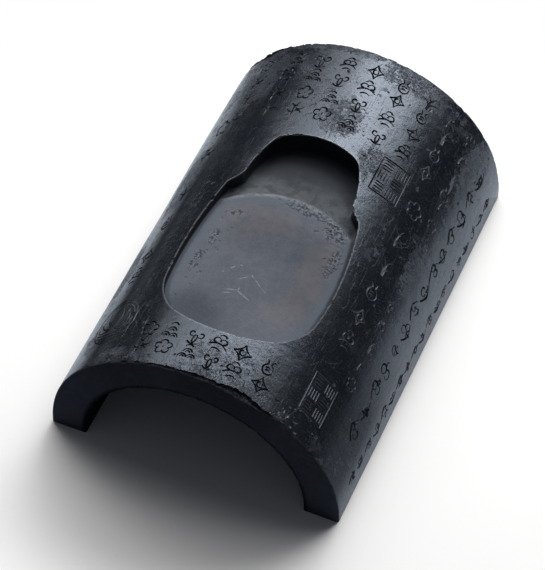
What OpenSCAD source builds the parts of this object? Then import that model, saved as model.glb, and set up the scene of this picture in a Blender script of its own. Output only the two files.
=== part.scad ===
// Ink stone carved from one block of stone in the shape of a half-round roof tile.
// X runs across the tile, Y along it with the ink well towards +Y, and Z up.
// The origin is on the table, under the middle of the tile. All sizes are in millimetres.

/* [Tile] */
// Length of the tile
tile_length = 222; // [200:1:250]
// Radius of the arched back
outer_r = 75; // [74:0.5:80]
// Thickness of the stone round the arch
wall = 18.3; // [18:0.1:20]
// Height of the straight foot below the half round
foot_h = 1.8; // [1:0.1:3]
// Rounding of the edges round both end faces
edge_r = 1.2; // [0.5:0.1:2]

/* [Recess outline] */
// Distance from the front end of the tile to the front edge of the recess
recess_front = 28.7; // [26:0.1:32]
// Width of the front edge, between its rounded corners
front_w = 53.6; // [50:0.1:56]
// Distance from the front edge back to where the rounded corners begin
front_turn = 7.5; // [6:0.1:9]
// Width of the bed where the rounded corners end
corner_w = 76.2; // [72:0.1:78]
// Distance from the front edge back to where the rounded corners end
corner_l = 26.7; // [24:0.1:30]
// Width of the bed at its shoulders
shoulder_w = 68.6; // [66:0.1:70]
// Distance from the front edge back to the shoulders
shoulder_l = 92.5; // [88:0.1:94]
// Width of the neck between the bed and the well
neck_w = 56.6; // [54:0.1:60]
// Distance from the front edge back to the neck
neck_l = 98.5; // [97:0.1:100]
// Width of the well where its back corners begin
well_w = 44.8; // [40:0.1:46]
// Distance from the front edge back to where the well's corners begin
well_l = 121.9; // [120:0.1:123]
// Width of the back edge of the well, between its corners
back_w = 30.6; // [26:0.1:34]
// Distance from the front edge back to where the well's corners end
back_turn = 126.6; // [125:0.1:128]
// Whole length of the recess
recess_l = 128.9; // [128.2:0.1:132]

/* [Recess bows] */
// How far the front edge bows forward
front_bow = 2; // [1:0.1:3]
// How far each front corner bulges
corner_bow = 1.9; // [1:0.1:3]
// How far each long side swells
side_bow = 2.9; // [1.5:0.1:3.5]
// How far each shoulder is hollowed as it runs into the neck
shoulder_bow = 0.5; // [0.2:0.1:1]
// How far each side of the well swells
well_bow = 1.2; // [0.5:0.1:2]
// How far each back corner bulges
back_corner_bow = 0.9; // [0.5:0.1:1.5]
// How far the back edge bows backward
back_bow = 0.7; // [0.4:0.1:1.5]

/* [Ink bed] */
// Height of the bed's crown above the table, at its front edge
bed_front_h = 69.2; // [68:0.1:71]
// Fall of the bed towards the well, in degrees
bed_fall = 0.7; // [0:0.1:1]
// Radius of the dome across the bed
bed_r = 100; // [90:1:120]
// Distance from the front edge back to the bed's far end, on the middle line
bed_l = 94.5; // [90:0.1:97]
// Radius of the bed's far end, seen from above
bed_end_r = 70; // [60:1:90]

/* [Ink well] */
// Step down from the bed's far end to the floor of the well
lip_h = 1.3; // [0.5:0.1:2]
// Fall of the well's floor towards the back, in degrees
well_fall = 5.8; // [4:0.1:6.5]
// Radius of the arch across the well's floor
well_r = 90; // [80:1:120]

/* [Cut marks] */
// Depth of the burin's cuts
mark_depth = 0.5; // [0.3:0.1:1]
// Width of the burin's cuts
line_w = 1; // [0.8:0.1:1.2]
// Width of a small mark
mark_w = 8.8; // [7:0.1:9]
// Width of a square mark
square_w = 15.5; // [14:0.1:18]
// Length of a square mark
square_l = 21.3; // [19:0.1:24]
// Width of the round medallion
medallion_w = 28; // [24:0.5:30]

/* [Hidden] */

inner_r = outer_r - wall;
crown_h = foot_h + outer_r;
// Straight pieces in each arc of the recess outline
arc_steps = 8;
// Clearance by which each cutting solid runs past the stone
past = 5;
// Sides of the round forms
round_sides = 180;
edge_sides = 32;

// Right half of the recess outline from front to back: half width, distance from
// the recess's front edge, and the bow of the stretch that leads there
outline_stations = [
    [front_w / 2, front_turn, front_bow],
    [corner_w / 2, corner_l, corner_bow],
    [shoulder_w / 2, shoulder_l, side_bow],
    [neck_w / 2, neck_l, -shoulder_bow],
    [well_w / 2, well_l, well_bow],
    [back_w / 2, back_turn, back_corner_bow],
    [0, recess_l, back_bow]
];

// Fields of small marks: the angles round the arch, the distances from the front end, the
// size as a share of mark_w, and whether only every second one is cut, as on a chessboard
mark_fields = [
    [[-43.5, -28, -16, -5, 6, 18.4, 30, 41.5, 54], [209.5, 198, 185.5, 173], 1, true],
    [[-52], [154, 135, 120, 100, 80, 64], 1.12, false],
    [[-24, -15, -5.4, 3.6, 12.5, 23], [22, 11.5], 0.96, true],
    [[44.5], [149, 130, 111, 95, 78, 62], 1.12, false],
    [[55], [46, 58, 71, 84, 97, 110, 124, 138, 152, 166, 180], 0.78, true]
];
// Angle and distance from the front end of the medallion and of the two square marks
medallion_at = [-44.5, 29];
square_marks = [[30.3, 153.4], [45, 25.7]];
// Vine scrolls along the right side: angle, first bend, number of bends, length and swing of a bend
vines = [[68, 26, 14, 13, 3.4], [82, 14, 19, 10.2, 2.6]];

// Points of the circular arc from a to b that bows to the right of the way from a to b
function arc_to(a, b, bow) =
    let (
        chord = b - a,
        span = norm(chord),
        r = (span * span / 4 + bow * bow) / (2 * bow),
        outward = [chord.y, -chord.x] / span,
        centre = (a + b) / 2 - outward * (r - bow),
        from = atan2(a.y - centre.y, a.x - centre.x),
        to = atan2(b.y - centre.y, b.x - centre.x),
        turn = (to - from + 540) % 360 - 180
    )
    [for (i = [1:arc_steps])
        let (at = from + turn * i / arc_steps) centre + abs(r) * [cos(at), sin(at)]];

function station(i) = i < 0 ? [0, 0] : [outline_stations[i].x, outline_stations[i].y];

function right_half() =
    [for (i = [0:len(outline_stations) - 1])
        each arc_to(station(i - 1), station(i), outline_stations[i].z)];

// Flask-shaped mouth of the recess, in plan, with its front edge at y = 0
module recess_outline() {
    right = right_half();
    last = len(right) - 1;
    left = [for (i = [last - 1:-1:0]) [-right[i].x, right[i].y]];
    polygon(concat([[0, 0]], right, left));
}

// Plan of the wall of one foot, with the edges at both ends rounded
module wall_plan() {
    x_in = inner_r + edge_r;
    x_out = outer_r - edge_r;
    y_end = tile_length / 2 - edge_r;
    for (x = [x_in, x_out], y = [-y_end, y_end])
        translate([x, y]) circle(r = edge_r, $fn = edge_sides);
    translate([x_in, -y_end - edge_r]) square([x_out - x_in, 2 * (y_end + edge_r)]);
    translate([inner_r, -y_end]) square([wall, 2 * y_end]);
}

// Half-round tile standing on the two straight feet
module tile() {
    translate([0, 0, foot_h]) rotate([90, 0, 0])
        rotate_extrude(angle = 180, $fn = round_sides) wall_plan();
    for (side = [0, 1]) mirror([side, 0, 0])
        linear_extrude(height = foot_h) wall_plan();
}

// Long cylinder lying along Y, its crown passing through the height h at y = 0
// and falling towards +Y
module falling_core(h, r, fall) {
    translate([0, 0, h]) rotate([-fall, 0, 0]) translate([0, 0, -r])
        rotate([90, 0, 0]) cylinder(h = 2 * tile_length, r = r, center = true, $fn = round_sides);
}

module recess_shaft() {
    linear_extrude(height = crown_h + past) recess_outline();
}

// Space above the domed bed
module bed_space() {
    difference() {
        recess_shaft();
        falling_core(bed_front_h, bed_r, bed_fall);
    }
}

// Space above the sloping floor of the well, behind the round far end of the bed
module well_space() {
    lip_z = bed_front_h - bed_l * tan(bed_fall) - lip_h;
    difference() {
        recess_shaft();
        translate([0, bed_l, 0]) falling_core(lip_z, well_r, well_fall);
        translate([0, bed_l - bed_end_r, 0])
            cylinder(h = crown_h, r = bed_end_r, $fn = round_sides);
    }
}

// Burin stroke from a to b: thin at both ends and widest in the middle
module stroke(a, b, w = line_w * 1.2) {
    span = norm(b - a);
    translate((a + b) / 2) rotate(atan2(b.y - a.y, b.x - a.x))
        polygon([[-span / 2, 0], [0, -w / 2], [span / 2, 0], [0, w / 2]]);
}

// Outline of an evenly sided figure, turned by an angle
module outline(r, sides, turn) {
    rotate(turn) difference() {
        circle(r = r, $fn = sides);
        circle(r = r - line_w, $fn = sides);
    }
}

// Which plain form stands for blossom, cloud, orchid, waves, lozenge, bamboo, scroll, pomegranate
plain_forms = [0, 1, 2, 3, 3, 2, 1, 0];

// Plain form of a small mark, h being half its width
module small_mark(mark, h) {
    kind = plain_forms[mark];
    if (kind == 0) outline(0.95 * h, 5, 90);
    if (kind == 1) {
        outline(0.6 * h, 4, 0);
        stroke([-0.95 * h, -0.8 * h], [0.95 * h, -0.8 * h]);
    }
    if (kind == 2) {
        stroke([-0.1 * h, -0.8 * h], [-0.9 * h, 0.3 * h]);
        stroke([0, -h], [0.15 * h, 0.95 * h]);
        stroke([0.4 * h, -0.75 * h], [0.95 * h, 0.3 * h]);
    }
    if (kind == 3) outline(0.98 * h, 4, 0);
}

// Square frame filled with short strokes laid crosswise like a woven mat
module square_mark() {
    difference() {
        square([square_w, square_l], center = true);
        square([square_w - 2 * line_w, square_l - 2 * line_w], center = true);
    }
    cell = [square_w / 2.14, square_l / 3.1];
    for (i = [0:1], j = [0:2]) translate([(i - 0.5) * cell.x, (j - 1) * cell.y])
        for (k = [-0.5, 0.5])
            if ((i + j) % 2 == 0) translate([0, k * cell.y / 2.4]) square([0.66 * cell.x, line_w], center = true);
            else translate([k * cell.x / 2.4, 0]) square([line_w, 0.66 * cell.y], center = true);
}

// Lotus over rippled water in a round border
module medallion() {
    h = medallion_w / 2;
    outline(h, 28, 0);
    for (turn = [-62, -31, 0, 31, 62]) translate([0, -0.3 * h]) rotate(turn)
        stroke([0, 0.2 * h], [0, h * (1 - abs(turn) / 220)], 0.16 * h);
    for (i = [0:1]) stroke([(0.2 * i - 0.75) * h, -(0.45 + 0.2 * i) * h], [(0.75 - 0.2 * i) * h, -(0.45 + 0.2 * i) * h]);
}

// Stem of a vine that swings from side to side
module vine(bends, length, swing) {
    for (i = [0:bends - 1]) {
        side = i % 2 * 2 - 1;
        stroke([0, (i + 0.04) * length], [side * swing, (i + 0.48) * length]);
        stroke([side * swing, (i + 0.52) * length], [0, (i + 0.96) * length]);
    }
}

// Stands a flat mark on end at an angle round the arch, a distance from the front end
module stood_at(angle, from_front) {
    translate([0, from_front - tile_length / 2, foot_h]) rotate([0, angle, 0])
        translate([0, 0, outer_r - 3 * mark_depth - past / 2]) linear_extrude(height = 3 * mark_depth + past)
            children();
}

// Space of the main cuts in the tile's back, all of one depth under its skin
module mark_space() {
    intersection() {
        translate([0, 0, foot_h]) rotate([90, 0, 0]) difference() {
            cylinder(h = tile_length, r = outer_r + past, center = true, $fn = round_sides);
            cylinder(h = 2 * tile_length, r = outer_r - mark_depth, center = true, $fn = round_sides);
        }
        union() {
            for (field = mark_fields, i = [0:len(field[0]) - 1], j = [0:len(field[1]) - 1])
                if (!field[3] || (i + j) % 2 == 0)
                    stood_at(field[0][i], field[1][j]) small_mark((3 * i + 5 * j) % 8, field[2] * mark_w / 2);
            stood_at(medallion_at.x, medallion_at.y) medallion();
            for (at = square_marks) stood_at(at.x, at.y) square_mark();
            for (v = vines) stood_at(v[0], v[1]) vine(v[2], v[3], v[4]);
        }
    }
}

module stone() {
    color([0.13, 0.145, 0.17]) difference() {
        tile();
        mark_space();
        translate([0, recess_front - tile_length / 2, 0]) {
            bed_space();
            well_space();
        }
    }
}

stone();
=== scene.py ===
"""An ink stone in the shape of a half-round roof tile, carved from one block of blue-black stone.

Metres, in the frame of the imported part: X across the tile, +Y along it towards the ink well, Z up.
"""

import math
import random

import bmesh
import bpy
from mathutils import Matrix, Vector, kdtree, noise


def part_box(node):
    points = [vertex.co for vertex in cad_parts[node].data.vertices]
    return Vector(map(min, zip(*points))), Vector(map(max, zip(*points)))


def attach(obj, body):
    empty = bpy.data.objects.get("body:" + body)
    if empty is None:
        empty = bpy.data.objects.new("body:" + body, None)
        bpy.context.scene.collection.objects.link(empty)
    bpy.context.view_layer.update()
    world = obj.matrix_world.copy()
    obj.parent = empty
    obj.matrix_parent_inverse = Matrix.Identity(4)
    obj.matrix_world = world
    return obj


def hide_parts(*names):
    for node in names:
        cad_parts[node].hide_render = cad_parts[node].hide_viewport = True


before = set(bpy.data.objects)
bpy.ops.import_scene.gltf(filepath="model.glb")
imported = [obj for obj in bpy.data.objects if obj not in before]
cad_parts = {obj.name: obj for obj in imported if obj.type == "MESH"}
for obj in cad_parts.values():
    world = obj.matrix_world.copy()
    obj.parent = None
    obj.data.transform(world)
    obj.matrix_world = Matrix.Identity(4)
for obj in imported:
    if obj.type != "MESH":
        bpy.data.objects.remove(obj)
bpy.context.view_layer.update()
scene = bpy.context.scene
scene.view_settings.view_transform = "Standard"


# Camera: a long lens, 1.3 m away to the right of the front end, that looks down at about
# 51 degrees on the grinding bed. It is rolled a little, as the photograph was.
CAMERA_AZIMUTH = math.radians(22.32)
CAMERA_HEIGHT = math.radians(51.21)
CAMERA_ROLL = math.radians(0.82)
CAMERA_DISTANCE = 1.3401
CAMERA_TARGET = Vector((-0.0098, 0.0091, 0.0))
CAMERA_LENS = 167.6

camera_data = bpy.data.cameras.new("camera")
camera_data.lens = CAMERA_LENS
camera_data.sensor_width = 36
camera_data.clip_start = 0.05
camera_data.clip_end = 20
camera = bpy.data.objects.new("camera", camera_data)
scene.collection.objects.link(camera)
camera_back = Vector((
    math.sin(CAMERA_AZIMUTH) * math.cos(CAMERA_HEIGHT),
    -math.cos(CAMERA_AZIMUTH) * math.cos(CAMERA_HEIGHT),
    math.sin(CAMERA_HEIGHT),
))
camera.rotation_mode = "QUATERNION"
camera.location = CAMERA_TARGET + camera_back * CAMERA_DISTANCE
level = (-camera_back).to_track_quat("-Z", "Y")
camera.rotation_quaternion = level @ Matrix.Rotation(CAMERA_ROLL, 3, "Z").to_quaternion()
scene.camera = camera


# Studio: a round table of white paper, lit from behind the tile by a soft box in front of a wide
# dim panel, and by a box overhead. The polish mirrors a dim room, where the camera sees white.
class Wire:
    """A socket of a node tree. Arithmetic on it adds Math nodes; node() adds any other node."""

    def __init__(self, tree, socket=None):
        self.tree = tree
        self.socket = socket

    def node(self, kind, settings=None, values=(), out=0):
        """Adds a node: its type, its settings, and what goes into its sockets."""
        made = self.tree.nodes.new(kind)
        for name, value in (settings or {}).items():
            setattr(made, name, value)
        pairs = values.items() if isinstance(values, dict) else enumerate(values)
        for name, value in pairs:
            if isinstance(value, Wire):
                self.tree.links.new(value.socket, made.inputs[name])
            else:
                made.inputs[name].default_value = value
        return Wire(self.tree, made.outputs[out])

    def math(self, operation, *others):
        return self.node("ShaderNodeMath", {"operation": operation}, [self, *others])

    def parts(self):
        """The X, Y and Z of a vector."""
        split = self.node("ShaderNodeSeparateXYZ", {}, [self]).socket.node
        return [Wire(self.tree, out) for out in split.outputs]

    def __add__(self, other):
        return self.math("ADD", other)

    def __sub__(self, other):
        return self.math("SUBTRACT", other)

    def __mul__(self, other):
        return self.math("MULTIPLY", other)

    def __truediv__(self, other):
        return self.math("DIVIDE", other)

    def __rsub__(self, other):
        return self.node("ShaderNodeMath", {"operation": "SUBTRACT"}, [other, self])

    __radd__ = __add__
    __rmul__ = __mul__


TABLE_R = 0.24
TABLE_FADE = (0.175, 0.235)
BOX_CENTRE = Vector((0.2, 1.25, 1.25))
BOX_SIZE = (1.1, 0.75)
BOX_WATTS = 17.0
PANEL_CENTRE = Vector((-0.25, 1.35, 1.35))
PANEL_SIZE = (3.4, 0.95)
PANEL_WATTS = 33.0
PANEL_ROLL = math.radians(8)
FILL_CENTRE = Vector((-0.25, 0.62, 1.5))
FILL_SIZE = (1.2, 1.0)
FILL_WATTS = 10.0
PAPER_MIRRORED = (0.80, 0.875, 0.97)
PAPER_SEEN = (0.96, 0.95, 0.938)
ROOM_MIRRORED = (0.054, 0.058, 0.067)
WHITE = (1, 1, 1, 1)

table_top = bmesh.new()
bmesh.ops.create_circle(table_top, cap_ends=True, segments=96, radius=TABLE_R)
table_mesh = bpy.data.meshes.new("table")
table_top.to_mesh(table_mesh)
table_top.free()
table = bpy.data.objects.new("table", table_mesh)
scene.collection.objects.link(table)

paper = bpy.data.materials.new("white_paper")
paper.use_nodes = True
sheet = paper.node_tree.nodes["Principled BSDF"]
sheet.inputs["Roughness"].default_value = 0.9
paper_start = Wire(paper.node_tree)
on_paper = paper_start.node("ShaderNodeTexCoord", out="Object")
seen = paper_start.node("ShaderNodeLightPath", out="Is Camera Ray")
sheet_colours = {0: seen, 6: (*PAPER_MIRRORED, 1), 7: (*PAPER_SEEN, 1)}
white = seen.node("ShaderNodeMix", {"data_type": "RGBA"}, sheet_colours, out=2)
paper.node_tree.links.new(white.socket, sheet.inputs["Base Color"])
away = on_paper.node("ShaderNodeVectorMath", {"operation": "LENGTH"}, [on_paper], out="Value")
fade = away.node("ShaderNodeMapRange", {"interpolation_type": "SMOOTHSTEP"}, [away, *TABLE_FADE])
plain = paper_start.node("ShaderNodeEmission", {}, {"Color": WHITE, "Strength": 1.0})
lit = Wire(paper.node_tree, sheet.outputs["BSDF"])
shown = paper_start.node("ShaderNodeMixShader", {}, [fade * seen, lit, plain])
paper_out = paper.node_tree.nodes["Material Output"]
paper.node_tree.links.new(shown.socket, paper_out.inputs["Surface"])
table_mesh.materials.append(paper)

for lamp_name, centre, size, watts, roll in (
    ("soft_box", BOX_CENTRE, BOX_SIZE, BOX_WATTS, 0.0),
    ("wide_panel", PANEL_CENTRE, PANEL_SIZE, PANEL_WATTS, PANEL_ROLL),
    ("overhead_box", FILL_CENTRE, FILL_SIZE, FILL_WATTS, 0.0),
):
    lamp_data = bpy.data.lights.new(lamp_name, "AREA")
    lamp_data.shape = "RECTANGLE"
    lamp_data.size, lamp_data.size_y = size
    lamp_data.energy = watts
    lamp = bpy.data.objects.new(lamp_name, lamp_data)
    lamp.location = centre
    aim = (-centre).to_track_quat("-Z", "Y")
    lamp.rotation_euler = (aim @ Matrix.Rotation(roll, 3, "Z").to_quaternion()).to_euler()
    scene.collection.objects.link(lamp)

world = bpy.data.worlds.new("studio")
world.use_nodes = True
scene.world = world
room = world.node_tree
sky_seen = Wire(room).node("ShaderNodeLightPath", out="Is Camera Ray")
sky_colours = {0: sky_seen, 6: (*ROOM_MIRRORED, 1), 7: WHITE}
backdrop = sky_seen.node("ShaderNodeMix", {"data_type": "RGBA"}, sky_colours, out=2)
room.links.new(backdrop.socket, room.nodes["Background"].inputs["Color"])


# Blank: the half-round tile, sawn and ground from the block, with two flat feet.
# Its section is swept round the arch, and its back is ground by eye, so it is slightly uneven.
MM = 0.001
WALL = 18.3 * MM
EDGE = 1.2 * MM
ARCH_STEPS = 150
LENGTH_STEPS = 130
INNER_STEPS = 30
WALL_STEPS = 8
CORNER_STEPS = 3
END_PACKING = 1.15
GRIND_DEPTH = 0.28 * MM
GRIND_SPAN = 38 * MM
WORN_ANGLE = -48
WORN_SPREAD = 34
WORN_LENGTH = 26 * MM
WORN_DEPTH = 1.6 * MM

low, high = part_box("stone")
half_length = (high.y - low.y) / 2
outer_r = (high.x - low.x) / 2
foot = high.z - outer_r
inner_r = outer_r - WALL


def ground_low(place):
    """How far the hand-ground surface lies under the true one at a place."""
    broad = noise.noise(place / GRIND_SPAN)
    fine = noise.noise(place / (GRIND_SPAN / 4) + Vector((7, 3, 1)))
    angle = math.degrees(math.atan2(place.x, place.z - foot))
    round_share = max(0.0, 1 - abs(angle - WORN_ANGLE) / WORN_SPREAD)
    corner = round_share * max(0.0, 1 - (half_length - place.y) / WORN_LENGTH)
    worn = WORN_DEPTH * corner ** 1.5 * (1 + 0.5 * fine)
    return GRIND_DEPTH * (0.6 + 0.5 * broad + 0.16 * fine) + worn


def crown_z(x):
    """Height of the tile's arched back over a point x across."""
    return foot + math.sqrt(outer_r * outer_r - x * x)


# One wall in section, with rounded corners, is drawn flat and spun up over the arch.
blank = bmesh.new()
bmesh.ops.create_grid(blank, x_segments=1, y_segments=1, size=0.5)
bmesh.ops.scale(blank, vec=(WALL, 2 * half_length, 1), verts=blank.verts)
bmesh.ops.translate(blank, vec=((inner_r + outer_r) / 2, 0, foot), verts=blank.verts)
bmesh.ops.bevel(
    blank, geom=blank.verts[:], offset=EDGE, segments=CORNER_STEPS, profile=0.5,
    affect="VERTICES", material=-1,
)
sides = sorted(blank.edges, key=lambda e: e.calc_length())
inner_side, outer_side = sorted(sides[-2:], key=lambda e: e.verts[0].co.x)
bmesh.ops.subdivide_edges(blank, edges=[outer_side], cuts=LENGTH_STEPS - 1)
bmesh.ops.subdivide_edges(blank, edges=[inner_side], cuts=INNER_STEPS - 1)
bmesh.ops.subdivide_edges(blank, edges=sides[-4:-2], cuts=WALL_STEPS - 1)
straight = half_length - EDGE
for v in blank.verts:
    if abs(v.co.y) < straight:
        v.co.y = straight * math.sin(v.co.y / straight * END_PACKING) / math.sin(END_PACKING)
bmesh.ops.spin(
    blank, geom=blank.faces[:], cent=(0, 0, foot), axis=(0, -1, 0), angle=math.pi,
    steps=ARCH_STEPS, use_merge=False, use_duplicate=False,
)
# The feet are pulled straight down from the ends of the half round, and the back is ground.
soles = [f for f in blank.faces if all(abs(v.co.z - foot) < 1e-7 for v in f.verts)]
pulled = bmesh.ops.extrude_face_region(blank, geom=soles)["geom"]
bmesh.ops.translate(
    blank, vec=(0, 0, -foot), verts=[v for v in pulled if isinstance(v, bmesh.types.BMVert)]
)
bmesh.ops.delete(blank, geom=[f for f in soles if f.is_valid], context="FACES")
bmesh.ops.recalc_face_normals(blank, faces=blank.faces)
for v in blank.verts:
    out = Vector((v.co.x, 0, max(v.co.z - foot, 0)))
    if out.length > outer_r - EDGE / 2:
        v.co -= out.normalized() * ground_low(v.co)
stone_mesh = bpy.data.meshes.new("stone_body")
blank.to_mesh(stone_mesh)
blank.free()
stone = bpy.data.objects.new("stone_body", stone_mesh)
scene.collection.objects.link(stone)


# Recess: a flask-shaped hollow cut into the back, with an eased rim, steep walls and a hollow
# at their foot. Its bed is domed, and behind the bed's soft round end the well falls away.
RECESS_FRONT = 28.7 * MM - half_length
# Where the arcs of the outline meet: half width, distance from the front edge, bow of the arc.
STATIONS = [
    (0.0, 0.0, 0.0), (26.8, 7.5, 2.0), (38.1, 26.7, 1.9), (34.3, 92.5, 2.9), (28.3, 98.5, -0.5),
    (22.4, 121.9, 1.2), (15.3, 126.6, 0.9), (0.0, 128.9, 0.7),
]
OUTLINE_STEP = 1.0 * MM
MOUTH_SMOOTHINGS = 4
LIP_SPREAD = 1.2 * MM
LIP_WIDTH = 2.8 * MM
RIM_EASE = 0.45 * MM
EASE_DROP = 0.293
EASE_RUN = 0.707
RIM_FLARE = 1.5 * MM
FLARE_LIFT = 0.4 * MM
BED_FRONT_H = 69.2 * MM
BED_FALL = math.tan(math.radians(0.7))
BED_R = 100 * MM
BED_LENGTH = 94.5 * MM
BED_END_R = 70 * MM
LIP = 1.3 * MM
WELL_FALL = math.tan(math.radians(5.8))
WELL_R = 90 * MM
BED_COVE = 1.2 * MM
WELL_COVE = 3.0 * MM
COVE_RINGS = [0.25 * MM, 0.6 * MM, 1.1 * MM, 1.8 * MM, 2.8 * MM]
FLOOR_CELL = 1.1 * MM


def outline_half():
    """Points of the recess outline from the front edge to the back edge, on the right."""
    points = []
    for (ax, ay, _), (bx, by, bow) in zip(STATIONS, STATIONS[1:]):
        a, b, bow = Vector((ax, ay)) * MM, Vector((bx, by)) * MM, bow * MM
        chord = b - a
        radius = (chord.length_squared / 4 + bow * bow) / (2 * bow)
        centre = (a + b) / 2 - Vector((chord.y, -chord.x)).normalized() * (radius - bow)
        start, end = a - centre, b - centre
        turn = math.atan2(start.cross(end), start.dot(end))
        steps = max(2, round(abs(turn * radius) / OUTLINE_STEP))
        for i in range(steps):
            points.append(centre + Matrix.Rotation(turn * i / steps, 2) @ start)
    return points + [Vector((0, STATIONS[-1][1] * MM))]


def behind_bed(x, y):
    """0 on the bed, 1 in the well, and between them across the soft end of the bed."""
    past = math.hypot(x, y - (BED_LENGTH - BED_END_R)) - BED_END_R
    if y <= BED_LENGTH - BED_END_R:
        return 0.0
    t = min(1.0, max(0.0, (past + LIP_SPREAD) / LIP_WIDTH))
    return t * t * (3 - 2 * t)


def recess_floor(x, y):
    """Height of the recess's floor; y counts from the front edge of the recess."""
    bed = BED_FRONT_H - y * BED_FALL - (BED_R - math.sqrt(BED_R * BED_R - x * x))
    lip = BED_FRONT_H - BED_LENGTH * BED_FALL - LIP
    well = lip - (y - BED_LENGTH) * WELL_FALL - (WELL_R - math.sqrt(WELL_R * WELL_R - x * x))
    part = behind_bed(x, y)
    return bed * (1 - part) + well * part


def cove(x, y, inset):
    """Lift of the hollow curve that joins the wall to the floor, at an inset from the wall."""
    part = behind_bed(x, y)
    radius = BED_COVE * (1 - part) + WELL_COVE * part
    gap = max(0.0, radius - inset)
    return radius - math.sqrt(radius * radius - gap * gap)


# The cutter is built flat, ring by ring from its mouth: outwards over the eased rim, then
# inwards down the wall, round the cove and over the floor, which is divided into cells. Each
# point remembers its ring, and is lifted to its height at the end.
cutter = bmesh.new()
ring_of = cutter.verts.layers.int.new("ring")
right = outline_half()
mirrored = [Vector((-p.x, p.y)) for p in right[-2:0:-1]]
mouth = cutter.faces.new([cutter.verts.new((p.x, p.y, 0)) for p in right + mirrored])
for _ in range(MOUTH_SMOOTHINGS):
    bmesh.ops.smooth_vert(cutter, verts=cutter.verts, factor=0.5, use_axis_x=True, use_axis_y=True)
for v in mouth.verts:
    v[ring_of] = 3
EASED = {3: -RIM_EASE, 2: -EASE_DROP * RIM_EASE, 1: 0.0, 0: FLARE_LIFT}
for ring, width in ((2, EASE_DROP * RIM_EASE), (1, EASE_RUN * RIM_EASE), (0, RIM_FLARE)):
    before = set(cutter.verts)
    bmesh.ops.inset_region(
        cutter, faces=cutter.faces[:], thickness=width, use_boundary=True, use_even_offset=True,
        use_outset=True,
    )
    for v in set(cutter.verts) - before:
        v[ring_of] = ring
core = mouth
WALL_RINGS = {4: 0.35, 5: 0.7, 6: 1.0}
for ring in WALL_RINGS:
    core_verts = list(core.verts)
    pushed = bmesh.ops.extrude_face_region(cutter, geom=[core])["geom"]
    new_core = [f for f in pushed if isinstance(f, bmesh.types.BMFace)][0]
    bmesh.ops.delete(cutter, geom=[core], context="FACES_ONLY")
    core = new_core
    for v in core.verts:
        v[ring_of] = ring
inset_at = {6: 0.0}
for number, inset in enumerate(COVE_RINGS):
    ring = 7 + number
    bmesh.ops.inset_region(
        cutter, faces=[core], thickness=inset - inset_at[ring - 1], use_boundary=True,
        use_even_offset=True,
    )
    for v in core.verts:
        v[ring_of] = ring
    bmesh.ops.smooth_vert(cutter, verts=core.verts[:], factor=0.3, use_axis_x=True, use_axis_y=True)
    inset_at[ring] = inset
FLOOR_RING = 99
floor_faces = [core]
bound = [(min(v.co[i] for v in core.verts), max(v.co[i] for v in core.verts)) for i in (0, 1)]
for axis in (0, 1):
    start, stop = bound[axis]
    cells = round((stop - start) / FLOOR_CELL)
    normal = Vector((1, 0, 0)) if axis == 0 else Vector((0, 1, 0))
    for i in range(1, cells):
        at = start + (stop - start) * i / cells
        near = [f for f in floor_faces if f.is_valid]
        parts = dict.fromkeys(near)
        for f in near:
            parts.update(dict.fromkeys([*f.verts, *f.edges]))
        cut = bmesh.ops.bisect_plane(
            cutter, geom=list(parts), dist=1e-7, plane_co=normal * at, plane_no=normal
        )
        for v in cut["geom_cut"]:
            if isinstance(v, bmesh.types.BMVert) and v[ring_of] == 0:
                v[ring_of] = FLOOR_RING
        floor_faces = [g for g in cut["geom"] if isinstance(g, bmesh.types.BMFace)]
rim_edges = [e for e in cutter.edges if e.is_boundary]
lid = bmesh.ops.extrude_edge_only(cutter, edges=rim_edges)["geom"]
LID_RING = 100
LID_LIFT = 10 * MM
for v in lid:
    if isinstance(v, bmesh.types.BMVert):
        v[ring_of] = LID_RING
lid_edges = [e for e in lid if isinstance(e, bmesh.types.BMEdge) and e.is_boundary]
bmesh.ops.edgeloop_fill(cutter, edges=lid_edges)
for v in cutter.verts:
    ring, x, y = v[ring_of], v.co.x, v.co.y
    skin = crown_z(x) - ground_low(Vector((x, y + RECESS_FRONT, crown_z(x))))
    if ring == LID_RING:
        z = high.z + LID_LIFT
    elif ring <= 3:
        z = skin + EASED[ring]
    elif ring in WALL_RINGS:
        top, bottom = skin - RIM_EASE, recess_floor(x, y) + cove(x, y, 0)
        z = top + (bottom - top) * WALL_RINGS[ring]
    else:
        z = recess_floor(x, y) + cove(x, y, inset_at.get(ring, 1))
    v.co.z = z
bmesh.ops.translate(cutter, vec=(0, RECESS_FRONT, 0), verts=cutter.verts)
bmesh.ops.recalc_face_normals(cutter, faces=cutter.faces)
cutter_mesh = bpy.data.meshes.new("recess_cutter")
cutter.to_mesh(cutter_mesh)
cutter.free()


def carve(tools, name):
    """Takes a mesh away from the stone, and throws the tool away."""
    tool = bpy.data.objects.new(name, tools)
    scene.collection.objects.link(tool)
    cut = stone.modifiers.new(name, "BOOLEAN")
    cut.operation = "DIFFERENCE"
    cut.solver = "MANIFOLD"
    cut.object = tool
    graph = bpy.context.evaluated_depsgraph_get()
    carved = bpy.data.meshes.new_from_object(stone.evaluated_get(graph))
    stone.modifiers.clear()
    stone.data = carved
    bpy.data.objects.remove(tool)


carve(cutter_mesh, "recess_cutter")


# Marks: blossoms, clouds, waves and sprigs cut freehand into the back with a burin, which
# leaves a V-shaped groove. They stand in columns round the recess and down both sides.
BURIN = 0.56 * MM
BURIN_DEPTH = 0.8
HAND = random.Random(11)


def on_skin(across, along, height):
    """Place on the ground back: across round the arch, along the tile, height over the skin."""
    out = Vector((math.sin(across / outer_r), 0, math.cos(across / outer_r)))
    at = Vector((0, along, foot)) + out * outer_r
    return at + out * (height - ground_low(at))


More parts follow.
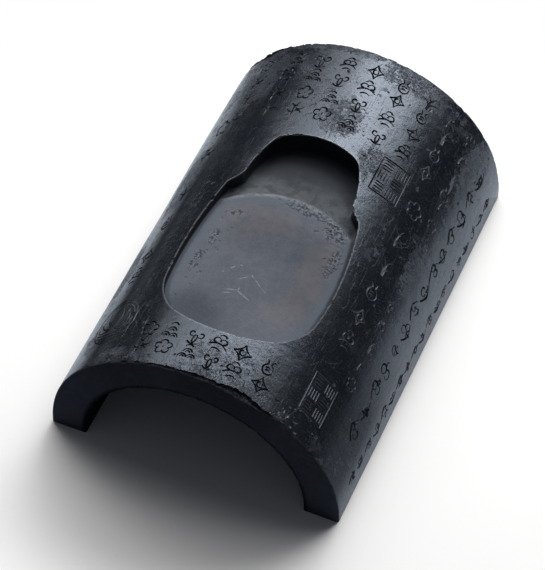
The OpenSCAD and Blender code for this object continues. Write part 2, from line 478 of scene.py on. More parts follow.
def bow(ax, ay, bx, by, sag):
    """A stroke from a to b that bows to its left by a share of its length."""
    run, rise = bx - ax, by - ay
    points = []
    for i in range(9):
        t = i / 8
        lift = 4 * sag * t * (1 - t)
        points.append((ax + run * t - rise * lift, ay + rise * t + run * lift))
    return points


def curl(cx, cy, first_r, last_r, start, turn):
    """A stroke that winds round a centre from one radius to another, with angles in degrees."""
    steps = max(4, round(abs(turn) / 24))
    points = []
    for i in range(steps + 1):
        r = first_r + (last_r - first_r) * i / steps
        a = math.radians(start + turn * i / steps)
        points.append((cx + r * math.cos(a), cy + r * math.sin(a)))
    return points


def weave(half, upright):
    """A patch of four straight strokes side by side, as in a woven mat."""
    rows = [half * (2 * i / 3 - 1) for i in range(4)]
    if upright:
        return [[(row, -half), (row, half)] for row in rows]
    return [[(-half, row), (half, row)] for row in rows]


# Each motif is a list of strokes in a square that reaches from -1 to 1.
BLOSSOM = [
    curl(0.56 * math.cos(a), 0.56 * math.sin(a), 0.34, 0.34, math.degrees(a) - 118, 236)
    for a in (math.radians(90 + 72 * k) for k in range(5))
] + [bow(-0.07, 0, 0.07, 0, 0)]
ORCHID = [
    bow(-0.1, -0.95, -0.95, 0.2, -0.28), bow(-0.02, -0.95, -0.45, 0.9, -0.16),
    bow(0.06, -0.95, 0.5, 0.95, 0.16), bow(0.12, -0.95, 0.98, 0.1, 0.3),
    bow(0.1, 0.05, 0.28, 0.42, 0.3), bow(-0.02, 0.05, -0.2, 0.4, -0.3),
]
CLOUD = [
    curl(-0.42, 0.12, 0.12, 0.5, -60, -300), curl(0.42, 0.12, 0.12, 0.5, 240, 300),
    bow(-0.95, -0.5, 0.95, -0.5, 0.22), bow(-0.5, -0.88, 0.5, -0.88, 0.2),
    curl(0, 0.55, 0.4, 0.4, 20, 140),
]
WAVES = [
    curl(-0.48, -0.85, 0.48, 0.48, 5, 170), curl(-0.48, -0.85, 0.22, 0.22, 5, 170),
    curl(0.48, -0.85, 0.48, 0.48, 5, 170), curl(0.48, -0.85, 0.22, 0.22, 5, 170),
    curl(0, -0.2, 0.52, 0.52, 12, 156), curl(0, -0.2, 0.24, 0.24, 5, 170),
    curl(0, 0.42, 0.46, 0.46, 20, 140),
]
LOZENGE = [
    bow(0, 0.95, 0.95, 0, -0.14), bow(0.95, 0, 0, -0.95, -0.14), bow(0, -0.95, -0.95, 0, -0.14),
    bow(-0.95, 0, 0, 0.95, -0.14), curl(0, 0, 0.3, 0.3, 90, 330),
]
BAMBOO = [
    bow(-0.3, -1.0, 0.25, 0.95, 0.12), bow(-0.12, -0.45, -0.95, -0.2, 0.2),
    bow(0.02, 0.0, 0.9, 0.2, -0.2), bow(0.08, 0.4, -0.62, 0.75, 0.2),
    bow(-0.05, -0.3, 0.72, -0.62, 0.2),
]
SCROLL = [
    curl(-0.46, 0.3, 0.12, 0.46, 20, 330), curl(0.46, 0.3, 0.12, 0.46, 160, -330),
    bow(-0.02, -0.9, -0.1, 0.2, 0.12), bow(0.02, -0.9, 0.1, 0.2, -0.12),
    bow(-0.6, -0.75, 0.6, -0.75, -0.2),
]
POMEGRANATE = [
    curl(0, -0.2, 0.62, 0.62, 110, 320), bow(-0.2, 0.38, -0.42, 0.9, -0.1),
    bow(0.2, 0.38, 0.42, 0.9, 0.1), bow(-0.28, -0.1, 0.28, -0.1, 0.25),
    bow(-0.3, -0.42, 0.3, -0.42, 0.25),
]
MEDALLION = [
    curl(0, 0, 0.97, 0.97, 90, 357), curl(0, 0, 0.84, 0.84, 20, 140),
    bow(0, -0.3, 0, 0.7, 0.24), bow(0, -0.3, 0, 0.7, -0.24),
    bow(-0.06, -0.3, -0.46, 0.5, 0.1), bow(-0.1, -0.32, -0.46, 0.5, 0.42),
    bow(0.06, -0.3, 0.46, 0.5, -0.1), bow(0.1, -0.32, 0.46, 0.5, -0.42),
    bow(-0.12, -0.34, -0.8, 0.12, 0.1), bow(-0.12, -0.36, -0.8, 0.12, 0.36),
    bow(0.12, -0.34, 0.8, 0.12, -0.1), bow(0.12, -0.36, 0.8, 0.12, -0.36),
    bow(-0.74, -0.46, 0.74, -0.46, -0.08), bow(-0.62, -0.62, 0.62, -0.62, -0.08),
    bow(-0.42, -0.78, 0.42, -0.78, -0.07),
]
SQUARE_FRAME = [
    bow(-1, -1, 1, -1, 0), bow(-1, 1, 1, 1, 0), bow(-1, -1, -1, 1, 0), bow(1, -1, 1, 1, 0),
]
for column, cx in enumerate((-0.47, 0.47)):
    for row, cy in enumerate((-0.65, 0.0, 0.65)):
        for stroke in weave(0.32, (row + column) % 2):
            SQUARE_FRAME.append([(cx + x, cy + y * 0.74) for x, y in stroke])
SMALL = [BLOSSOM, CLOUD, ORCHID, WAVES, LOZENGE, BAMBOO, SCROLL, POMEGRANATE]

layers = []
STROKE_GAP = 0.05 * MM


def lay(points, width):
    """Puts a stroke into the first layer of cutters where it touches no other."""
    xs, ys = [p[0] for p in points], [p[1] for p in points]
    room = 1.3 * width + STROKE_GAP
    box = (min(xs) - room, max(xs) + room, min(ys) - room, max(ys) + room)
    for layer in layers:
        if all(
            box[0] > o[1] or box[1] < o[0] or box[2] > o[3] or box[3] < o[2]
            for o, _, _ in layer
        ):
            layer.append((box, points, width))
            return
    layers.append([(box, points, width)])


def mark(motif, angle, from_front, wide, tall, burin=1.0, swing=6.0):
    """Cuts a motif at an angle round the arch and a distance in millimetres from the front end."""
    across, along = math.radians(angle) * outer_r, from_front * MM - half_length
    turn = math.radians(HAND.uniform(-swing, swing))
    half_w = wide * MM / 2 * HAND.uniform(0.93, 1.07)
    half_h = tall * MM / 2 * HAND.uniform(0.93, 1.07)
    for stroke in motif:
        placed = []
        for x, y in stroke:
            x, y = x * half_w, y * half_h
            placed.append((
                across + x * math.cos(turn) - y * math.sin(turn),
                along + x * math.sin(turn) + y * math.cos(turn),
            ))
        lay(placed, BURIN * burin * HAND.uniform(0.9, 1.1))


# Each field of small marks: angles round the arch, distances from the front end, size, weight.
FIELDS = [
    (
        (-43.5, -28.0, -16.0, -5.0, 6.0, 18.4, 30.0, 41.5, 54.0), (209.5, 198.0, 185.5, 173.0),
        9.6, 1.0,
    ),
    ((-50.0,), (166.0, 148.0, 120.0, 98.0, 76.0, 62.0), 10.6, 1.3),
    ((-24.0, -15.0, -5.4, 3.6, 12.5, 23.0), (22.0, 11.5), 9.2, 1.0),
    ((44.5,), (149.0, 130.0, 111.0, 95.0, 78.0, 62.0), 10.6, 1.0),
    (
        (55.0,), (46.0, 58.0, 71.0, 84.0, 97.0, 110.0, 124.0, 138.0, 152.0, 166.0, 180.0),
        7.4, 0.8,
    ),
]
for angles, distances, size, burin in FIELDS:
    for i, angle in enumerate(angles):
        for j, from_front in enumerate(distances):
            motif = SMALL[(3 * i + 5 * j) % len(SMALL)]
            mark(motif, angle, from_front + HAND.uniform(-0.7, 0.7), size, size * 1.05, burin)
mark(MEDALLION, -44.5, 29, 27, 29, 1.0, 1)
mark(SQUARE_FRAME, 30.3, 153.4, 15.5, 21.3, 0.9, 1)
mark(SQUARE_FRAME, 45, 25.7, 15.5, 21.3, 0.9, 1)

# Each vine: angle round the arch, where it begins, its bends, a bend's length and swing, weight.
VINES = [(68, 26, 14, 13.0, 3.4, 1.15), (82, 14, 19, 10.2, 2.6, 1.1)]
# A leaf, and the small things that sprout from a vine on either side of each bend.
LEAF = [bow(0, 0, 0.95, 0.5, 0.25), bow(0, 0, 0.95, 0.5, -0.2)]
TENDRILS = [
    [curl(0.1, 0.0, 0.2, 0.8, 60, 290)],
    LEAF + [bow(-0.2, -0.6, 0.7, -0.5, 0.3)],
    [bow(-0.5, -0.2, 0.6, 0.3, 0.3), bow(-0.3, 0.5, 0.5, -0.5, -0.2), bow(0.5, 0.5, 0.8, 0.1, 0.2)],
    [curl(0, 0, 0.45, 0.45, 0, 330), bow(0.4, 0.2, 1.0, 0.7, 0.3)],
    [
        bow(-0.6, 0.3, 0.7, 0.4, -0.2), bow(-0.4, 0.0, 0.6, 0.05, 0.1),
        bow(0.1, 0.7, -0.1, -0.6, 0.2),
    ],
]
STEM_SHARE = 0.85
for angle, first, bends, bend, swing, burin in VINES:
    stem = math.radians(angle) * outer_r
    for k in range(bends):
        begin = (first + k * bend) * MM - half_length
        reach = (1 if k % 2 else -1) * swing * HAND.uniform(0.5, 1.25) * MM
        size = bend / 2 * HAND.uniform(0.8, 1.1) * MM
        middle = begin + bend * HAND.uniform(0.42, 0.58) * MM
        if HAND.random() < STEM_SHARE:
            stop = HAND.uniform(0.7, 1.0)
            stretch = [(
                stem + reach * math.sin(math.pi * i / 10 * stop),
                begin + bend * MM * stop * i / 10,
            ) for i in range(11)]
            lay(stretch, BURIN * burin * HAND.uniform(0.8, 1.25))
        hand = math.copysign(1, reach)
        for side, shift in ((hand, -0.45), (-hand, 0.75)):
            turn = math.radians(HAND.uniform(-35, 35))
            for stroke in HAND.choice(TENDRILS):
                leaf = []
                for x, y in stroke:
                    across = x * math.cos(turn) - y * math.sin(turn)
                    along = x * math.sin(turn) + y * math.cos(turn)
                    offset = shift * reach
                    leaf.append((
                        stem + offset + across * size * 0.72 * side, middle + along * size * 0.85,
                    ))
                lay(leaf, BURIN * burin * HAND.uniform(0.7, 1.1))

# Strokes that don't touch are cut together, each as a four-sided tube bent round the arch.
STROKE_LIFT = 0.04 * MM
for number, layer in enumerate(layers):
    line = bpy.data.curves.new(f"burin_strokes_{number}", "CURVE")
    line.dimensions = "3D"
    line.twist_mode = "Z_UP"
    line.bevel_depth = 1.0
    line.bevel_resolution = 0
    line.use_fill_caps = True
    for _, points, width in layer:
        spline = line.splines.new("POLY")
        spline.points.add(len(points) - 1)
        for i, (point, spot) in enumerate(zip(spline.points, points)):
            share = i / (len(points) - 1)
            swell = math.sin(math.pi * min(1, share * 1.15 + 0.2)) ** 0.5
            point.co = (*spot, STROKE_LIFT, 1)
            point.radius = width * (0.62 + 0.38 * swell)
    strokes = bpy.data.objects.new(line.name, line)
    scene.collection.objects.link(strokes)
    graph = bpy.context.evaluated_depsgraph_get()
    grooves = bpy.data.meshes.new_from_object(strokes.evaluated_get(graph))
    bpy.data.objects.remove(strokes)
    bent = bmesh.new()
    bent.from_mesh(grooves)
    bmesh.ops.remove_doubles(bent, verts=bent.verts, dist=1e-6)
    for v in bent.verts:
        v.co = on_skin(v.co.x, v.co.y, v.co.z * BURIN_DEPTH)
    bmesh.ops.recalc_face_normals(bent, faces=bent.faces)
    bent.to_mesh(grooves)
    bent.free()
    carve(grooves, line.name)


# Wear: chips knocked out of the rim and the ends over the years, and small pits where soft
# specks have dropped out of the stone. The front crest, the back end and the left side took most.
WEAR = random.Random(5)
batches = []


def chip(at, out, wide, long, deep, along):
    """Knocks one chip out round a place; out points off the stone, along runs with the edge."""
    out = out.normalized()
    cross = out.cross(along).normalized()
    axes = (cross * wide / 2, out.cross(cross) * long / 2, out * deep)
    shape = Matrix(axes).transposed().to_4x4()
    reach = max(wide, long) * 0.75
    for mesh, taken in batches:
        if all((at - other).length > reach + far for other, far in taken):
            break
    else:
        mesh, taken = bmesh.new(), []
        batches.append((mesh, taken))
    taken.append((at, reach))
    fresh = bmesh.ops.create_icosphere(mesh, subdivisions=2, radius=1)["verts"]
    for v in fresh:
        lump = noise.noise(v.co * 1.4 + at * 900) + 0.5 * noise.noise(v.co * 3.1 + at * 700)
        v.co = at + shape @ (v.co * (1 + 0.42 * lump))


def end_chip(angle, end, inner, wide, long, deep):
    """A chip out of the edge of one end, on the outer or inner side of the wall; in millimetres."""
    turn = math.radians(angle)
    radial = Vector((math.sin(turn), 0, math.cos(turn)))
    tangent = Vector((math.cos(turn), 0, -math.sin(turn)))
    face = Vector((0, end, 0))
    r = inner_r + 0.4 * MM if inner else outer_r - 0.5 * MM
    side = -radial if inner else radial
    wide, long, deep = wide * MM, long * MM, deep * MM
    at = Vector((0, 0, foot)) + radial * r + face * (half_length - 0.4 * MM)
    out = side + face * WEAR.uniform(0.3, 1.0)
    chip(at + (side + face) * 0.25 * deep, out, long, wide, deep, tangent)


# Each run of end chips: how many, the angles (a mean and spread, or a span), which end, inner or
# outer edge, and the spans of width, length and depth.
END_CHIPS = [
    (16, WEAR.gauss, (16, 13), -1, False, (4, 10), (2.5, 5), (0.9, 1.7)),
    (46, WEAR.gauss, (10, 17), -1, False, (1.6, 5.5), (1.5, 4), (0.4, 0.95)),
    (26, WEAR.uniform, (-85, 85), -1, False, (1.0, 3), (1, 2), (0.3, 0.7)),
    (16, WEAR.uniform, (-80, 80), -1, True, (1.5, 5), (1, 2.5), (0.4, 0.9)),
    (60, WEAR.uniform, (-85, 85), 1, False, (1.5, 6), (1.2, 4.5), (0.4, 1.1)),
    (10, WEAR.uniform, (-80, 80), 1, True, (1.5, 5), (1, 2.5), (0.4, 0.9)),
]
for count, draw, angles, end, inner, *spans in END_CHIPS:
    for _ in range(count):
        end_chip(draw(*angles), end, inner, *(WEAR.uniform(*span) for span in spans))

# Chips along the recess's rim: across, from the recess's front edge, and size.
whole_rim = right + mirrored
rim_chips = [
    (-37.5, 80.0, 4.4), (-40.9, 54.3, 3.6), (-39.8, 37.9, 5.0), (-39.4, 33.5, 3.4),
    (38.8, 43.4, 4.2), (38.3, 36.0, 3.2), (28.6, 97.5, 3.4), (27.0, 104.0, 3.0),
]
for _ in range(70):
    p = whole_rim[WEAR.randrange(len(whole_rim))]
    rim_chips.append((p.x / MM, p.y / MM, WEAR.uniform(0.8, 2.6)))
for x, y, size in rim_chips:
    near = min(range(len(whole_rim)), key=lambda i: (whole_rim[i] - Vector((x, y)) * MM).length)
    p, q = whole_rim[near], whole_rim[(near + 1) % len(whole_rim)]
    angle = math.asin(p.x / outer_r)
    at = on_skin(angle * outer_r, p.y + RECESS_FRONT, 0)
    out = Vector((math.sin(angle), 0, math.cos(angle)))
    edge_run = Vector((q.x - p.x, q.y - p.y, 0))
    chip(at, out, size * WEAR.uniform(0.4, 0.7) * MM, size * MM, size * 0.36 * MM, edge_run)

# Clusters of pits in the back: angle, from the front end, spread of both, and how many.
PIT_CLUSTERS = [
    (12, 6, 9, 4, 26), (-55, 175, 5, 26, 16), (-50, 60, 5, 30, 14), (-57, 122, 5, 22, 30),
    (10, 186, 8, 16, 20), (-20, 214, 24, 5, 18), (40, 214, 16, 5, 14), (62, 196, 6, 18, 10),
    (52, 118, 5, 14, 6), (36, 8, 8, 5, 18), (-62, 20, 8, 12, 10),
]
PIT_LIMIT = math.radians(86)
for angle, from_front, spread_a, spread_y, count in PIT_CLUSTERS:
    for _ in range(count):
        turn = math.radians(WEAR.gauss(angle, spread_a))
        along = WEAR.gauss(from_front, spread_y) * MM - half_length
        along = min(half_length - 2 * MM, max(2 * MM - half_length, along))
        out = Vector((math.sin(turn), 0, math.cos(turn)))
        if abs(turn) > PIT_LIMIT:
            continue
        size = WEAR.uniform(0.5, 1.7) * MM
        at = on_skin(turn * outer_r, along, 0.08 * size)
        long = size * WEAR.uniform(0.6, 1.8)
        grain_run = Vector((WEAR.uniform(-1, 1), WEAR.uniform(-1, 1), 0))
        chip(at, out, size, long, size * 0.22, grain_run)

# Clusters of pits in the bed: across, from the recess's front edge, spread of both, how many.
BED_PITS = [
    (-29, 42, 2.2, 8, 18), (-27, 58, 2.5, 8, 14), (12, 91, 9, 1.6, 40), (25, 85, 4, 3.5, 34),
    (30, 68, 2, 7, 18),
]
for x, y, spread_x, spread_y, count in BED_PITS:
    for _ in range(count):
        px, py = WEAR.gauss(x, spread_x) * MM, WEAR.gauss(y, spread_y) * MM
        size = WEAR.uniform(0.7, 2.2) * MM
        at = Vector((px, py + RECESS_FRONT, recess_floor(px, py) + 0.06 * size))
        long = size * WEAR.uniform(0.7, 1.5)
        chip(at, Vector((0, 0, 1)), size, long, size * 0.18, Vector((1, WEAR.uniform(-1, 1), 0)))

# The largest breaks in the front end, outer and inner edge: angle, width, length and depth.
CREST_BREAKS = [
    (10.5, 9, 7, 1.4), (14.0, 8, 10, 2.0), (17.5, 9, 11, 2.4), (21.0, 9, 9, 2.0), (25.0, 8, 6, 1.5),
    (31.0, 6, 5, 1.2), (-9.0, 7, 4, 0.9), (3.5, 6, 4, 0.9), (41.0, 6, 4, 1.0),
]
INNER_BREAKS = [(0.5, 5, 3, 1.1), (33.0, 6, 3.4, 1.3), (51.0, 5, 3, 1.0), (-38.0, 5, 3, 1.0)]
for breaks, inner in ((CREST_BREAKS, False), (INNER_BREAKS, True)):
    for angle, wide, long, deep in breaks:
        end_chip(angle, -1, inner, wide, long, deep)

for number, (mesh, _) in enumerate(batches):
    bmesh.ops.recalc_face_normals(mesh, faces=mesh.faces)
    chips = bpy.data.meshes.new(f"chips_{number}")
    mesh.to_mesh(chips)
    mesh.free()
    carve(chips, chips.name)

# Crumbs that a chip left loose in the air are swept away, and so are needle-thin faces.
swept = bmesh.new()
swept.from_mesh(stone.data)
first = max(swept.verts, key=lambda v: v.co.y)
solid, reached = {first}, [first]
while reached:
    for edge in reached.pop().link_edges:
        for v in edge.verts:
            if v not in solid:
                solid.add(v)
                reached.append(v)
bmesh.ops.delete(swept, geom=[v for v in swept.verts if v not in solid], context="VERTS")
bmesh.ops.dissolve_degenerate(swept, edges=swept.edges, dist=1e-7)
swept.to_mesh(stone.data)
swept.free()


# Finish: hand-polished blue-black stone, dull where its skin has flaked or weathered. The bed is
# ground matt and grey by years of ink sticks, and old ink has dried in blotches in the well. Light
# and shade are painted into the colour as well: shade on the recess walls, along the right wall
# and in the well's deep end, light and shade over the bed, and highlights on the rim, the bed's
# end, the crown and the strokes on the dark sides.
RIM_POINT_STEP = 0.1 * MM
RIM_REACH = 12.0
SMOOTH_ANGLE = math.radians(35)

rim_points = []
for p, q in zip(whole_rim, whole_rim[1:] + whole_rim[:1]):
    steps = max(1, round((q - p).length / RIM_POINT_STEP))
    inward = Vector((p.y - q.y, q.x - p.x)).normalized()
    rim_points += [(p.lerp(q, i / steps), inward) for i in range(steps)]
rim_tree = kdtree.KDTree(len(rim_points))
for i, (p, _) in enumerate(rim_points):
    rim_tree.insert((p.x, p.y, 0), i)
rim_tree.balance()

# Kept on the mesh, in millimetres: depth under the skin, distance inside the recess's rim, share
# of well, and distance inside the edge of the bed.
body = stone.data
FIELD_NAMES = ("sunk", "rim", "well", "bed_edge")
for name in FIELD_NAMES:
    body.attributes.new(name, "FLOAT", "POINT")
sunk_of, rim_of, well_of, bed_of = (body.attributes[name] for name in FIELD_NAMES)
for v in body.vertices:
    co = v.co
    upright = max(co.z - foot, 0)
    sunk = (outer_r - ground_low(co) - math.hypot(co.x, upright)) / MM
    sunk_of.data[v.index].value = sunk
    from_rim, part, from_lip = -RIM_REACH, 0.0, RIM_REACH
    if sunk < 16.5 and abs(co.x) < 50 * MM:
        level = Vector((co.x, co.y - RECESS_FRONT, 0))
        near, i, gap = rim_tree.find(level)
        if gap < RIM_REACH * MM or sunk > 2:
            inward = rim_points[i][1]
            inside = (level.x - near.x) * inward.x + (level.y - near.y) * inward.y
            from_rim = math.copysign(min(RIM_REACH, gap / MM), inside)
            part = behind_bed(level.x, level.y)
            past_turn = level.y - (BED_LENGTH - BED_END_R)
            if level.y >= BED_LENGTH - BED_END_R:
                from_lip = (BED_END_R - math.hypot(level.x, past_turn)) / MM
    rim_of.data[v.index].value = from_rim
    well_of.data[v.index].value = part
    bed_of.data[v.index].value = min(from_rim, max(-RIM_REACH, from_lip))
body.set_sharp_from_angle(angle=SMOOTH_ANGLE)
for p in body.polygons:
    p.use_smooth = True

polish = bpy.data.materials.new("ink_stone")
polish.use_nodes = True
tree = polish.node_tree
polished = tree.nodes["Principled BSDF"]
unpolished = tree.nodes.new("ShaderNodeBsdfPrincipled")
for shader, gloss in ((polished, 0.6), (unpolished, 0.0)):
    shader.inputs["Specular IOR Level"].default_value = gloss
    shader.inputs["Specular Tint"].default_value = (0.72, 0.83, 1.0, 1)


def grain(vector, per_mm, detail=2.0, rough=0.5):
    """Noise with about so many lumps to the millimetre."""
    values = {"Vector": vector, "Scale": per_mm, "Detail": detail, "Roughness": rough}
    return vector.node("ShaderNodeTexNoise", {}, values)


def step(value, low_end, high_end):
    """Rises smoothly from 0 to 1 between two values."""
    return value.node(
        "ShaderNodeMapRange", {"interpolation_type": "SMOOTHSTEP"}, [value, low_end, high_end]
    )


def blend(share, first, second):
    """Mixes two colours."""
    first, second = (c if isinstance(c, Wire) else (*c, 1) for c in (first, second))
    values = {0: share, 6: first, 7: second}
    return share.node("ShaderNodeMix", {"data_type": "RGBA"}, values, out=2)


def scratches(turn, sharp):
    """Fine lines that all run one way, at a turn about the upright axis."""
    stretch = {"Vector": mm, "Rotation": (0.3, 0.2, turn), "Scale": (1.6, 0.05, 0.8)}
    along = mm.node("ShaderNodeMapping", {}, stretch)
    return step(grain(along, 1.0, 2, 0.5), sharp, sharp + 0.05)


coords = Wire(tree).node("ShaderNodeTexCoord", out="Object")
mm = coords.node("ShaderNodeVectorMath", {"operation": "SCALE"}, {0: coords, 3: 1 / MM})
x, y, z = mm.parts()
from_front = y + half_length / MM
angle = x.math("ARCTAN2", z - foot / MM) * math.degrees(1)
sunk, rim, well, bed_edge = (
    coords.node("ShaderNodeAttribute", {"attribute_name": name}, out="Fac")
    for name in FIELD_NAMES
)

broad = grain(mm, 0.05, 3)
patchy = grain(mm, 0.13, 5, 0.55)
fractal = grain(mm, 0.17, 7, 0.62)
middling = grain(mm, 0.32, 5, 0.6)
small = grain(mm, 1.1, 3, 0.6)
tiny = grain(mm, 2.6, 2, 0.5)
tide = grain(mm, 0.035, 2, 0.45)

# Where the skin has weathered: angle, from the front end, half width, half length, strength.
WEATHERED = [
    (3, 174, 12, 18, 1.0), (18, 215, 16, 12, 1.0), (21, 157, 9, 14, 1.0), (-46, 204, 24, 38, 1.0),
    (-57, 110, 9, 120, 0.5), (-55, 130, 10, 36, 1.3), (-60, 70, 8, 34, 1.1), (12, 2, 30, 11, 1.0),
    (-34, 4, 26, 8, 0.7), (30, 4, 10, 6, 0.6), (62, 200, 12, 26, 1.0), (57, 125, 7, 26, 0.9),
    (-52, 20, 9, 14, 0.9), (70, 30, 12, 34, 0.6), (0, 225, 85, 11, 1.0), (36, 118, 5, 22, 0.5),
    (-26, 208, 18, 14, 0.8), (8, 16, 20, 12, 0.6), (42, 210, 14, 14, 0.7), (60, 4, 16, 12, 0.6),
    (-10, 186, 8, 14, 0.5),
]
weathered = None
for at_angle, at_front, wide, long, strength in WEATHERED:
    across, along = (angle - at_angle) / wide, (from_front - at_front) / long
    spot = step(1 - (across * across + along * along).math("SQRT"), 0.0, 0.6) * strength
    weathered = spot if weathered is None else weathered.math("MAXIMUM", spot)

# The kinds of damage to the skin, and the places that were finished apart from it.
scratch = scratches(0.5, 0.66).math("MAXIMUM", scratches(-0.9, 0.68))
scratch = scratch.math("MAXIMUM", scratches(1.7, 0.69))
matte = step(patchy + (middling - 0.5) * 0.4 + weathered * 0.22, 0.64, 0.78)
flake = step(fractal + (small - 0.5) * 0.10 + weathered * 0.20, 0.662, 0.672)
pock = step(grain(mm, 0.62, 5, 0.62) + weathered * 0.10, 0.635, 0.665) * step(weathered, 0.1, 0.5)
crust = step(small + weathered * 0.12, 0.60, 0.68)
speck = step(grain(mm, 1.3, 2, 0.4) + weathered * 0.07, 0.68, 0.72)
crack_line = (grain(mm, 0.035, 2, 0.4) - 0.5).math("ABSOLUTE")
crack = (1 - step(crack_line, 0.0006, 0.0022)) * step(patchy, 0.45, 0.5)
inside = step(rim, -0.25, 0.15)
on_floor = step(rim, 0.2, 0.9)
groove = step(sunk, 0.04, 0.18) * (1 - inside) * (1 - step(sunk, 0.9, 1.4))
end_face = step(y.math("ABSOLUTE"), half_length / MM - 1.3, half_length / MM - 0.2)
underside = step(sunk, 15.0, 17.5)
# A pale line along the recess's rim: partly wear, partly a painted highlight on the edge.
worn_lit_rim = (1 - step(rim.math("ABSOLUTE"), 0.3, 0.9)) * (1 - step(sunk, 0.6, 1.3))
worn_lit_rim = worn_lit_rim * step(small, 0.28, 0.5)

DARK_SKIN = (0.0040, 0.0052, 0.0080)
PALE_SKIN = (0.0060, 0.0070, 0.0092)
MATTE_SKIN = (0.011, 0.0125, 0.0155)
DARK_FLAKE = (0.0040, 0.0055, 0.0090)
PALE_FLAKE = (0.070, 0.078, 0.094)
CRUST = (0.034, 0.037, 0.043)
POCK = (0.0035, 0.0045, 0.0070)
WARM_HIGHLIGHT_PAINT = (0.100, 0.092, 0.086)
CLEAN_CUT = (0.0060, 0.0070, 0.0090)
LIT_CUT_PAINT = (0.075, 0.083, 0.098)
DARK_SAWN = (0.037, 0.0405, 0.052)
PALE_SAWN = (0.042, 0.0455, 0.0565)
ARCH_SHADE = (0.008, 0.0095, 0.012)
WORN_LIT_EDGE = (0.17, 0.175, 0.185)

skin = blend(step(broad, 0.35, 0.65), DARK_SKIN, PALE_SKIN)
skin = blend(matte, skin, MATTE_SKIN)
speckle = step(small * 0.5 + tiny * 0.5, 0.47, 0.58)
skin = blend(flake, skin, blend(speckle, DARK_FLAKE, PALE_FLAKE))
skin = blend(crust * matte * 0.8, skin, CRUST)
skin = blend(pock * 0.8, skin, POCK)
# A warm painted highlight on the weathered skin of the crown, near the back end.
warm_highlight = (1 - flake) * weathered * step(patchy, 0.42, 0.56)
warm_highlight = warm_highlight * step(angle, -6, 6) * (1 - step(angle, 22, 34)) * step(from_front, 150, 175)
skin = blend(warm_highlight * step(middling, 0.35, 0.6) * 0.55, skin, WARM_HIGHLIGHT_PAINT)
# In the dark bands down both sides the carved strokes are painted lighter, as painted light on their
# walls.
lit_grooves_right = step(angle, 28, 42) * (1 - step(angle, 57, 66))
lit_grooves_left = step(angle, -47, -43) * (1 - step(angle, -36, -28)) * (1 - step(from_front, 60, 80))
skin = blend(groove, skin, blend(lit_grooves_right + lit_grooves_left, CLEAN_CUT, LIT_CUT_PAINT))
skin = blend(end_face, skin, blend(step(patchy, 0.40, 0.62), DARK_SAWN, PALE_SAWN))
skin = blend(underside, skin, ARCH_SHADE)


def ovals(places, ragged):
    """Adds up soft ovals on the bed: across, from the front, half width, half length, strength."""
    total = None
    for at_x, at_front, wide, long, strength in places:
        across, along = (x - at_x) / wide, (from_front - at_front) / long
        out = across * across + along * along + (patchy - 0.5) * ragged
        spot = (1 - step(out, 0.1, 1.6)) * strength
        total = spot if total is None else total + spot
    return total


STAINS = [
    (-18, 103, 19, 12, 0.8), (2, 107, 16, 8, 0.8), (26, 84, 9, 26, 0.9), (20, 58, 12, 12, 0.9),
    (-8, 86, 18, 12, 0.3),
]
# Painted light and shade on the bed, scaling its colour: across, from the front, half width, half
# length, strength.
PAINTED_BED_SHADING = [
    (-34, 78, 15, 42, 0.12), (2, 96, 24, 14, -0.17), (22, 84, 13, 24, -0.10),
    (-22, 36, 20, 18, -0.34), (19, 46, 15, 16, 0.13),
]
GREY_BED = (0.0936, 0.1044, 0.1280)
BROWN_BED = (0.1182, 0.1123, 0.1231)
PALE_BED = (0.1320, 0.1379, 0.1556)
DARK_BED = (0.0768, 0.0818, 0.0946)
BED_BORDER = (0.0985, 0.1133, 0.1379)
PALE_GRIT = (0.1300, 0.1399, 0.1576)
DARK_GRIT = (0.0709, 0.0768, 0.0886)
LIP_PAINTED_HIGHLIGHT = (0.1931, 0.2029, 0.2167)
stain = step(ovals(STAINS, 1.5) + (patchy - 0.5) * 3.0 + (tide - 0.5) * 1.2, 0.10, 1.3)
centre = blend(stain, GREY_BED, BROWN_BED)
centre = blend(step(middling * 0.6 + small * 0.4, 0.42, 0.60) * 0.30, centre, PALE_BED)
centre = blend(step(middling * 0.4 + patchy * 0.6, 0.56, 0.42) * 0.28, centre, DARK_BED)
off_border = step(bed_edge + (middling - 0.5) * 6 + (tide - 0.5) * 8, 2.0, 9.0)
bed = blend(off_border, BED_BORDER, centre)
bed = blend(step(small, 0.42, 0.60) * 0.30, bed, PALE_GRIT)
bed = blend(step(small * 0.5 + tiny * 0.5, 0.55, 0.66) * 0.30, bed, DARK_GRIT)
# A painted highlight along the crest of the bed's soft round end.
lip_crest = (1 - step(bed_edge.math("ABSOLUTE"), 0.6, 3.4)) * step(from_front, 100.0, 118.0)
bed = blend(lip_crest * step(middling + small * 0.4, 0.5, 0.8) * 0.8, bed, LIP_PAINTED_HIGHLIGHT)
bed_shading_scale = 1 + ovals(PAINTED_BED_SHADING, 0.6)
bed = bed.node("ShaderNodeVectorMath", {"operation": "SCALE"}, {0: bed, 3: bed_shading_scale})

